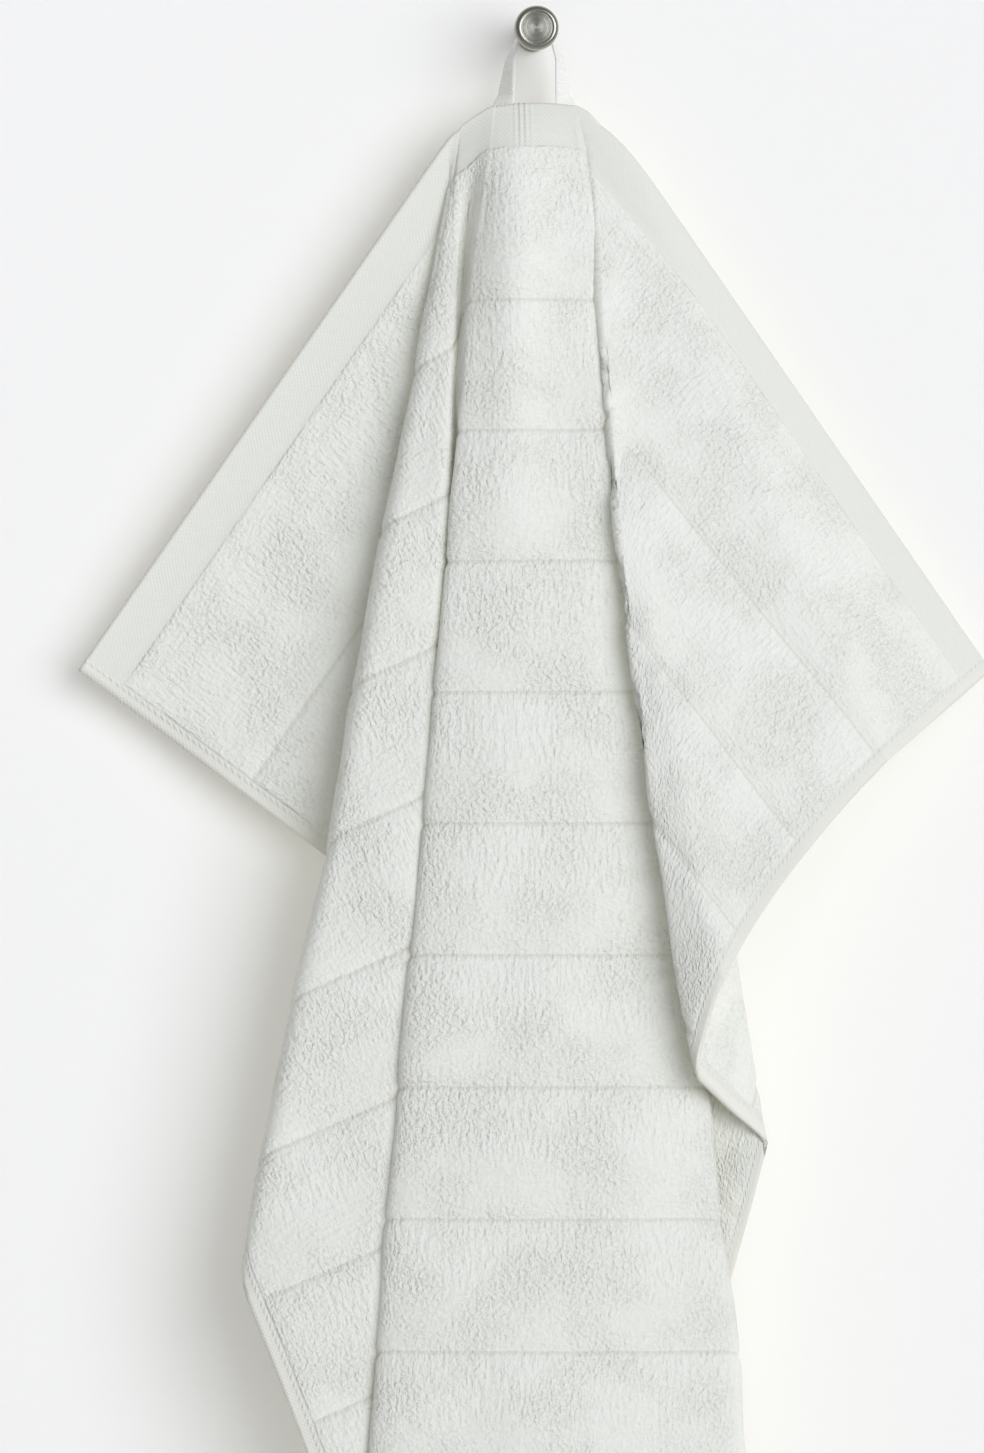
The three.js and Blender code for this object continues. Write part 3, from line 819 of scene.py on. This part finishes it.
@dataclass(frozen=True)
class TerryFinish:
    """White looped pile with ribs below each woven groove, and flat stitched hems."""

    cloth: Cloth = Cloth()
    pile_colour: Triple = (0.91, 0.91, 0.82)
    # The painted shade's colour: darker and yellower than the pile, for between the loops and in the
    # grooves.
    painted_shade_colour: Triple = (0.80, 0.79, 0.685)
    hem_colour: Triple = (0.825, 0.82, 0.73)
    edge_colour: Triple = (0.85, 0.835, 0.73)
    hem_blend: float = 1.0
    edge_band: Pair = (0.8, 4.4)
    warp_stretch: Triple = (0.62, 0.2, 1.0)
    weft_stretch: Triple = (0.2, 0.6, 1.0)
    nub_stretch: Triple = (0.85, 0.6, 1.0)
    curl_scale: float = 0.75
    patch_scale: float = 0.04
    contrast: Pair = (0.3, 0.7)
    patch_contrast: Pair = (0.35, 0.65)
    rib_fade: float = 3.0
    groove_band: Pair = (0.4, 1.8)
    stitch_run: float = 2.6
    stitch_slant: float = 0.8
    stitch_place: float = 4.3
    stitch_width: float = 0.9
    weave_rate: float = 4.2
    weave_rib_rate: float = 1.4
    gather_run: float = 1.9
    gather_place: float = -4.5
    gather_width: float = 5.0
    gather_fade: Pair = (8.0, 20.0)
    bump_height: float = 0.0006

    def make(self) -> bpy.types.Material:
        """Makes the terry material, from the place in the flat cloth."""
        cloth = self.cloth
        shader = Shader("white_terry")
        across, down, place = shader.flat()
        beside = cloth.half_width - across.abs()
        inside = shader.math("MINIMUM", down, cloth.length - down)
        side_hem = 1.0 - beside.rise(cloth.side_hem, cloth.side_hem + self.hem_blend)
        end_hem = 1.0 - inside.rise(cloth.end_hem, cloth.end_hem + self.hem_blend)
        hem = shader.math("MAXIMUM", side_hem, end_hem)
        pile_height, painted_shade_share = self.pile(shader, down, place)
        stitches = self.stitches(down, beside)
        hem_height = self.hem_weave(across, down) * 0.08 + self.gathers(across, down) * 0.6
        height = pile_height * (1.0 - hem) + hem_height * hem + stitches * 0.5
        edge = 1.0 - beside.rise(*self.edge_band)
        # Painted shade between the loops and in the woven grooves, over the white pile.
        colour = shader.mix(painted_shade_share, self.pile_colour, self.painted_shade_colour)
        colour = shader.mix(hem, colour, self.hem_colour)
        return shader.principled(
            {
                "Base Color": shader.mix(edge, colour, self.edge_colour),
                "Roughness": 0.95,
                "Specular IOR Level": 0.15,
                "Sheen Weight": 0.2,
                "Sheen Roughness": 0.6,
                "Normal": shader.bump(height, self.bump_height, 0.9),
            }
        )

    def pile(self, shader: "Shader", down: Socket, place: Any) -> tuple[Socket, Socket]:
        """The loops' height, and the painted shade between the loops and in the grooves.

        Round loops are the cells of a Voronoi pattern, and a coarse noise makes them stand up more in
        some places. Short strokes along the warp and the weft are noises stretched each way. The warp
        strokes are stronger below a groove. The numbers in the sums are each pattern's share.

        Args:
            shader: The material.
            down: The distance down.
            place: The flat place as a vector.

        Returns:
            The height, about 0 to 1, and the share of painted shade: a darker, yellower colour where the
            loops part and in each groove.
        """
        cloth = self.cloth
        phase = shader.math("WRAP", down - cloth.first_groove, cloth.repeat, 0.0)
        ribbed = 1.0 - phase.rise(cloth.ribbed - self.rib_fade, cloth.ribbed + self.rib_fade)
        warp, weft = (
            shader.noise(shader.stretched(place, stretch)).rise(*self.contrast)
            for stretch in (self.warp_stretch, self.weft_stretch)
        )
        nubs = 1.0 - shader.cells(shader.stretched(place, self.nub_stretch)) ** 2.0 * 1.6
        curls = shader.noise(place, self.curl_scale).rise(*self.contrast)
        patches = shader.noise(place, self.patch_scale).rise(*self.patch_contrast)
        strength = patches * 0.7 + 0.3
        strokes = warp * (ribbed * 0.5 + 0.2) + weft * (0.5 - ribbed * 0.2)
        loops = strokes * 0.65 + (nubs * 0.4 + curls * 0.6) * strength
        below_first = down.rise(cloth.repeat, cloth.repeat + self.hem_blend)
        groove = (1.0 - phase.rise(*self.groove_band)) * below_first
        # Painted shade: strongest in each woven groove, lighter where the loops and strokes part.
        painted_shade_share = (1.0 - curls) * strength * 0.4 + (1.0 - strokes) * 0.25 + groove * 0.8
        return loops, shader.math("MULTIPLY", painted_shade_share, 1.0, clamp=True)

    def stitches(self, down: Socket, beside: Socket) -> Socket:
        """A row of slanted stitches inside the side hem: a wave along it, on a narrow bell."""
        wave = (down + beside * self.stitch_slant).wave(self.stitch_run)
        return wave * beside.bell(self.stitch_place, self.stitch_width)

    def hem_weave(self, across: Socket, down: Socket) -> Socket:
        """The hems' plain weave: the product of fine waves both ways, and low ribs across."""
        rate = self.weave_rate
        return (across * rate).sin() * (down * rate).sin() + (down * self.weave_rib_rate).sin() * 0.4

    def gathers(self, across: Socket, down: Socket) -> Socket:
        """The small upright gathers where the left leg of the loop is sewn to the hem."""
        place = across.bell(self.gather_place, self.gather_width)
        return across.wave(self.gather_run) * place * (1.0 - down.rise(*self.gather_fade))


@dataclass(frozen=True)
class Towel:
    """The hand towel itself."""

    grid: SheetGrid = SheetGrid()
    finish: TerryFinish = TerryFinish()
    pile_thickness: float = 2.6

    def build(self) -> None:
        """Makes the towel on the CAD solid's folds and dresses it."""
        drape, cloth = self.grid.drape, self.grid.cloth
        down = self.grid.downs()
        across = self.grid.columns(down)
        number, faces = self.grid.faces(across)
        lumps = cloth.lumps(across, down[:, None])[..., None]
        surface = drape.surface(across, down) + self.grid.normals(across, down) * lumps
        points = np.zeros((number.max() + 1, 3))
        flat = np.zeros_like(points)
        points[number.ravel()] = surface.reshape(-1, 3)
        flat[number.ravel(), 0] = across.ravel()
        flat[number.ravel(), 1] = np.repeat(down, across.shape[1])
        piece = MeshMaker.make("towel_cloth", points, faces, Slot.TERRY)
        MeshMaker.flat_places(piece, flat)
        self.thicken(piece, cloth.pile(flat[:, 0], flat[:, 1]))
        piece.data.materials.append(self.finish.make())
        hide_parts("towel")

    def thicken(self, piece: bpy.types.Object, shares: Array) -> None:
        """Gives the sheet its thickness, the full one times each point's share.

        Args:
            piece: The towel.
            shares: Each point's share of the full thickness.
        """
        group = piece.vertex_groups.new(name="pile")
        for share in np.unique(np.round(shares, 2)):
            members = np.flatnonzero(np.round(shares, 2) == share)
            group.add(members.tolist(), float(share), "REPLACE")
        thick = piece.modifiers.new("thickness", "SOLIDIFY")
        thick.thickness = self.pile_thickness * METRES_PER_MM
        thick.offset = 0.0
        thick.vertex_group = group.name


@dataclass(frozen=True)
class TapeFinish:
    """Narrow white woven tape with fine cross ribs and firm edges."""

    colour: Triple = (0.92, 0.915, 0.86)
    # Painted shade in the troughs between the cross ribs.
    rib_shade_colour: Triple = (0.82, 0.81, 0.74)
    rib_run: float = 0.9
    thread_run: float = 0.7
    fuzz_scale: float = 1.5
    bump_height: float = 0.00025
    glow_depth: float = 0.0012

    def make(self) -> bpy.types.Material:
        """Makes the material, from the place across and along the tape."""
        shader = Shader("white_tape")
        across, along, place = shader.flat()
        ribs = along.wave(self.rib_run)
        threads = across.wave(self.thread_run)
        fuzz = shader.noise(place, self.fuzz_scale)
        height = ribs * 0.5 + threads * 0.3 + fuzz * 0.3
        # Painted shade in the rib troughs, with random darker tone from the fuzz.
        colour = shader.mix(1.0 - (ribs * 0.6 + fuzz * 0.5), self.colour, self.rib_shade_colour)
        return shader.principled(
            {
                "Base Color": colour,
                "Roughness": 0.85,
                "Specular IOR Level": 0.2,
                "Sheen Weight": 0.15,
                "Subsurface Weight": 1.0,
                "Subsurface Radius": (1.0, 1.0, 1.0),
                "Subsurface Scale": self.glow_depth,
                "Normal": shader.bump(height, self.bump_height, 0.7),
            }
        )


@dataclass(frozen=True)
class HangingTape:
    """The loop: a tape over the hook's stem, whose legs twist outwards and are sewn behind the hem."""

    width: float = 8.0
    thickness: float = 1.1
    stem_radius: float = 4.6
    gap: float = 0.3
    front_edge: float = 6.9
    leg_twist: float = math.radians(40.0)
    sewn_twist: float = math.radians(90.0)
    stem_out: float = 22.0
    leg_out: float = 18.0
    sewn_out: float = 21.0
    hem_height: float = -21.0
    sewn_height: float = -31.5
    settled: float = 0.75
    leg_steps: int = 28
    sewn_steps: int = 12
    arc_steps: int = 28
    section_points: int = 9

    def right_half(self) -> Array:
        """The right leg and its sewn end: x, out, z and turn, from the stem down.

        The leg turns evenly, and its front edge stays at one distance from the middle: x is the front
        edge plus half the width times the sine of the turn.

        Returns:
            An array of stations by 4.
        """
        share = np.linspace(0.0, 1.0, self.leg_steps)
        turn = share * self.leg_twist
        start = self.stem_radius + self.gap + self.thickness / 2
        x = lerp(start, self.edge_place(turn), smoothstep(share, 0.0, 0.5))
        out, z = lerp(self.stem_out, self.leg_out, share), share * self.hem_height
        leg = stacked(x, out, z, turn)
        share = np.linspace(0.0, 1.0, self.sewn_steps)[1:]
        rest = np.minimum(share / self.settled, 1.0)
        turn = lerp(self.leg_twist, self.sewn_twist, rest)
        out, z = lerp(self.leg_out, self.sewn_out, rest), lerp(self.hem_height, self.sewn_height, share)
        return np.concatenate([leg, stacked(self.edge_place(turn), out, z, turn)])

    def edge_place(self, turn: Array) -> Array:
        """The middle's x that keeps the front edge in place at a turn."""
        return self.front_edge + self.width / 2 * np.sin(turn)

    def stations(self) -> Array:
        """All stations from the sewn left end over the stem to the sewn right end."""
        right = self.right_half()
        left = right[::-1] * np.array([-1.0, 1.0, 1.0, -1.0])
        radius = self.stem_radius + self.gap + self.thickness / 2
        angle = np.linspace(math.pi, 0.0, self.arc_steps)[1:-1]
        out, turn = np.full_like(angle, self.stem_out), np.zeros_like(angle)
        arc = stacked(radius * np.cos(angle), out, radius * np.sin(angle), turn)
        return np.concatenate([left, arc, right])

    def section(self) -> Array:
        """The tape's cross section with rounded edges: shares of half the width and half the thickness."""
        wide = np.sin(np.linspace(-math.pi / 2, math.pi / 2, self.section_points))
        thick = np.maximum(1.0 - wide**8, 0.0) ** 0.5 * 0.8 + 0.2
        upper = stacked(wide, thick)
        return np.concatenate([upper, upper[::-1] * np.array([1.0, -1.0])])

    def build(self) -> None:
        """Carries the section along the stations and dresses it."""
        stations = self.stations()
        centres = stations[:, :3] * np.array([1.0, -1.0, 1.0])
        along = np.gradient(centres, axis=0)
        along /= np.linalg.norm(along, axis=-1, keepdims=True)
        turn = stations[:, 3]
        wide = stacked(np.sin(turn), np.cos(turn), np.zeros_like(turn))
        wide -= along * (wide * along).sum(axis=-1, keepdims=True)
        wide /= np.linalg.norm(wide, axis=-1, keepdims=True)
        thick = np.cross(along, wide)
        section = self.section() * np.array([self.width, self.thickness]) / 2
        grid = centres[:, None] + wide[:, None] * section[:, :1] + thick[:, None] * section[:, 1:]
        piece = MeshMaker.rings("hanging_tape", grid, Slot.TAPE)
        run = np.concatenate([[0.0], np.linalg.norm(np.diff(centres, axis=0), axis=-1).cumsum()])
        places = np.zeros_like(grid)
        places[..., 0] = section[None, :, 0]
        places[..., 1] = run[:, None]
        MeshMaker.flat_places(piece, places.reshape(-1, 3))
        piece.data.materials.append(TapeFinish().make())
        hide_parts("hanging_loop")


@dataclass(frozen=True)
class SteelFinish:
    """Turned stainless steel. The turning marks on the face are in the mesh."""

    colour: Triple = (0.37, 0.36, 0.30)
    dull_colour: Triple = (0.28, 0.275, 0.235)
    roughness: float = 0.2
    ring_scale: float = 2600.0
    ring_contrast: Pair = (0.35, 0.65)
    bump_height: float = 0.00001

    def make(self) -> bpy.types.Material:
        """Makes the material: rings of slightly duller steel about the hook's axis."""
        shader = Shader("turned_steel")
        place = shader.node("TexCoord", {}, {}).outputs["Object"]
        split = shader.node("SeparateXYZ", {}, {0: place})
        x, y, z = (Socket(shader, split.outputs[axis]) for axis in range(3))
        radius = (x * x + z * z) ** 0.5
        joined = shader.node("CombineXYZ", {}, {0: radius, 1: y})
        rings = shader.noise(joined.outputs[0], self.ring_scale)
        return shader.principled(
            {
                "Base Color": shader.mix(
                    rings.rise(*self.ring_contrast), self.colour, self.dull_colour
                ),
                "Metallic": 1.0,
                "Roughness": rings * 0.1 + self.roughness,
                "Normal": shader.bump(rings, self.bump_height, 0.5),
            }
        )


@dataclass(frozen=True)
class Hook:
    """The round wall hook: a turned post with a small foot, and a turned knob with a faced front."""

    segments: int = 96
    foot_radius: float = 5.4
    foot_thickness: float = 4.0
    foot_edge: float = 0.5
    post_radius: float = 4.6
    post_end: float = 30.0
    knob_start: float = 30.3
    knob_radius: float = 7.3
    knob_end: float = 37.3
    knob_edge: float = 0.6
    bevel: float = 1.6
    face_radius: float = 5.5
    face_recess: float = 0.18
    mark_pitch: float = 0.25
    mark_height: float = 0.009
    mark_points: int = 6
    middle: float = 0.04
    round_points: int = 7
    bevel_points: int = 12
    bevel_share: float = 0.9

    def turned(self, name: str, profile: Array) -> bpy.types.Object:
        """Turns a profile about the hook's axis.

        Args:
            name: The piece's name.
            profile: Radius and out of each point, an array of points by 2.

        Returns:
            The turned piece.
        """
        angle = np.linspace(0.0, 2.0 * math.pi, self.segments, endpoint=False)
        radius, out = profile[:, :1], profile[:, 1:]
        places = [radius * np.cos(angle), -out + np.zeros_like(angle), radius * np.sin(angle)]
        return MeshMaker.rings(name, stacked(*places), Slot.STEEL)

    def rounded(self, corner: Pair, radius: float, quarter: int) -> Array:
        """A quarter circle on the profile about a corner's middle, from the given quarter turn on."""
        angle = np.linspace(0.0, math.pi / 2, self.round_points) + quarter * math.pi / 2
        return stacked(corner[0] + radius * np.cos(angle), corner[1] + radius * np.sin(angle))

    def post_profile(self) -> Array:
        """The foot and the post, from the wall out."""
        edge, foot = self.foot_edge, self.foot_radius
        back = self.rounded((foot - edge, edge), edge, 3)
        front = self.rounded((foot - edge, self.foot_thickness - edge), edge, 0)
        post = [[self.post_radius, self.foot_thickness], [self.post_radius, self.post_end]]
        start, end = [[self.middle, 0.0]], [[self.middle, self.post_end]]
        return np.concatenate([start, back, front, post, end])

    def knob_profile(self) -> Array:
        """The knob from its back: a rounded edge, the side, a domed bevel, and the marked face.

        The bevel is a quarter of an ellipse. The turning marks are a fine sine wave along the radius.
        """
        edge, side = self.knob_edge, self.knob_radius
        back = self.rounded((side - edge, self.knob_start + edge), edge, 3)
        angle = np.linspace(0.0, math.pi / 2 * self.bevel_share, self.bevel_points)
        wide, deep = side - self.face_radius, self.bevel
        bevel_out = self.knob_end - deep + deep * np.sin(angle)
        bevel = stacked(self.face_radius + wide * np.cos(angle), bevel_out)
        face = self.face_radius - self.face_recess
        count = int(face / self.mark_pitch * self.mark_points)
        radius = np.linspace(face, self.middle, count)
        wave = self.mark_height * np.sin(2.0 * math.pi * radius / self.mark_pitch)
        marks = stacked(radius, self.knob_end - self.face_recess + wave)
        return np.concatenate([[[self.middle, self.knob_start]], back, bevel, marks])

    def build(self) -> None:
        """Makes both pieces and dresses them."""
        steel = SteelFinish().make()
        for name, node, profile in (
            ("hook_post", "hook_body", self.post_profile()),
            ("hook_knob", "hook_head", self.knob_profile()),
        ):
            piece = self.turned(name, profile)
            piece.data.materials.append(steel)
            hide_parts(node)


@dataclass(frozen=True)
class Lamp:
    """A far soft lamp: how far to the right and how high it stands, and how wide it is, in degrees.

    One that shines is also mirrored in the steel.
    """

    name: str
    side: float
    height: float
    width: float
    strength: float
    shines: bool = True


@dataclass(frozen=True)
class Stage:
    """The wall, the floor, the lights and the camera."""

    light_colour: Triple = (0.965, 0.99, 1.075)
    room_strength: float = 0.30
    side_lamp: Lamp = Lamp("side_lamp", 32.0, 6.0, 46.0, 1.62)
    front_lamp: Lamp = Lamp("front_lamp", 12.0, 14.0, 50.0, 0.48, shines=False)
    bounces: int = 16
    photo_per_mm: float = 3.0
    hook_pixel: Pair = (536.0, 29.0)
    cloth_out: float = 0.030
    camera_distance: float = 2.6
    camera_side: float = -0.10
    camera_height: float = -0.22
    wall_size: float = 4.0
    wall_colour: Triple = (0.85, 0.835, 0.785)
    wall_glow: float = 0.145
    floor_height: float = -1.1
    floor_colour: Triple = (0.8, 0.79, 0.77)
    film_height: float = 36.0

    def plane(self, name: str, near: Pair, far: Pair, material: bpy.types.Material) -> None:
        """Makes a flat stage piece between two level edges, each given by its y and z in metres."""
        half = self.wall_size / 2
        corners = [(-half, *near), (half, *near), (half, *far), (-half, *far)]
        mesh = bpy.data.meshes.new(name)
        mesh.from_pydata(corners, [], [(0, 1, 2, 3)])
        mesh.materials.append(material)
        link(name, mesh)

    def wall_material(self) -> bpy.types.Material:
        """Pale paint on the wall's face, and nothing when seen from behind."""
        shader = Shader("pale_wall")
        matt = shader.node("BsdfDiffuse", {}, {"Color": (*self.wall_colour, 1.0)})
        glow = shader.node("Emission", {}, {"Color": (1.0,) * 4, "Strength": self.wall_glow})
        paint = shader.node("AddShader", {}, {0: matt.outputs[0], 1: glow.outputs[0]})
        clear = shader.node("BsdfTransparent", {}, {})
        behind = shader.node("NewGeometry", {}, {}).outputs["Backfacing"]
        mixed = shader.node("MixShader", {}, {0: behind, 1: paint.outputs[0], 2: clear.outputs[0]})
        shader.node("OutputMaterial", {}, {"Surface": mixed.outputs[0]})
        return shader.material

    def floor_material(self) -> bpy.types.Material:
        """Pale matt floor."""
        values = {"Base Color": (*self.floor_colour, 1.0), "Roughness": 0.7}
        return Shader("pale_floor").principled(values)

    def build(self) -> None:
        """Makes the wall, floor, world, lights and camera."""
        corner = (0.0, self.floor_height)
        self.plane("wall", corner, (0.0, self.wall_size / 2), self.wall_material())
        self.plane("floor", (-self.wall_size, self.floor_height), corner, self.floor_material())
        self.light()
        self.camera()

    def light(self) -> None:
        """Faint light all round, a wide soft lamp at the right and a softer one in front."""
        scene = bpy.context.scene
        world = bpy.data.worlds.new("soft_room")
        world.use_nodes = True
        background = world.node_tree.nodes["Background"]
        background.inputs["Color"].default_value = (*self.light_colour, 1.0)
        background.inputs["Strength"].default_value = self.room_strength
        scene.world = world
        for lamp in (self.side_lamp, self.front_lamp):
            data = bpy.data.lights.new(lamp.name, "SUN")
            data.energy = lamp.strength
            data.angle = math.radians(lamp.width)
            data.color = self.light_colour
            light = link(lamp.name, data)
            light.visible_glossy = lamp.shines
            light.rotation_euler = (math.radians(90.0 - lamp.height), 0.0, math.radians(lamp.side))
        scene.view_settings.view_transform = "Standard"
        scene.cycles.max_bounces = self.bounces
        scene.cycles.diffuse_bounces = self.bounces

    def camera(self) -> None:
        """A long lens that looks straight at the wall from a little to the left and below the hook."""
        per_mm = self.photo_per_mm / METRES_PER_MM
        height = PHOTO_HEIGHT / per_mm
        centre_x = (PHOTO_WIDTH / 2 - self.hook_pixel[0]) / per_mm
        centre_z = (self.hook_pixel[1] - PHOTO_HEIGHT / 2) / per_mm
        data = bpy.data.cameras.new("camera")
        data.sensor_fit = "VERTICAL"
        data.sensor_height = self.film_height
        data.lens = data.sensor_height * self.camera_distance / height
        data.shift_x = (centre_x - self.camera_side) / height
        data.shift_y = (centre_z - self.camera_height) / height
        camera = link("camera", data)
        camera_out = self.cloth_out + self.camera_distance
        camera.location = (self.camera_side, -camera_out, self.camera_height)
        camera.rotation_euler = (math.pi / 2, 0.0, 0.0)
        bpy.context.scene.camera = camera


def main() -> None:
    """Loads the frame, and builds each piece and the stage."""
    logging.basicConfig(level=logging.INFO, format="%(name)s %(message)s")
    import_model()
    Towel().build()
    HangingTape().build()
    Hook().build()
    Stage().build()


if __name__ == "__main__":
    main()
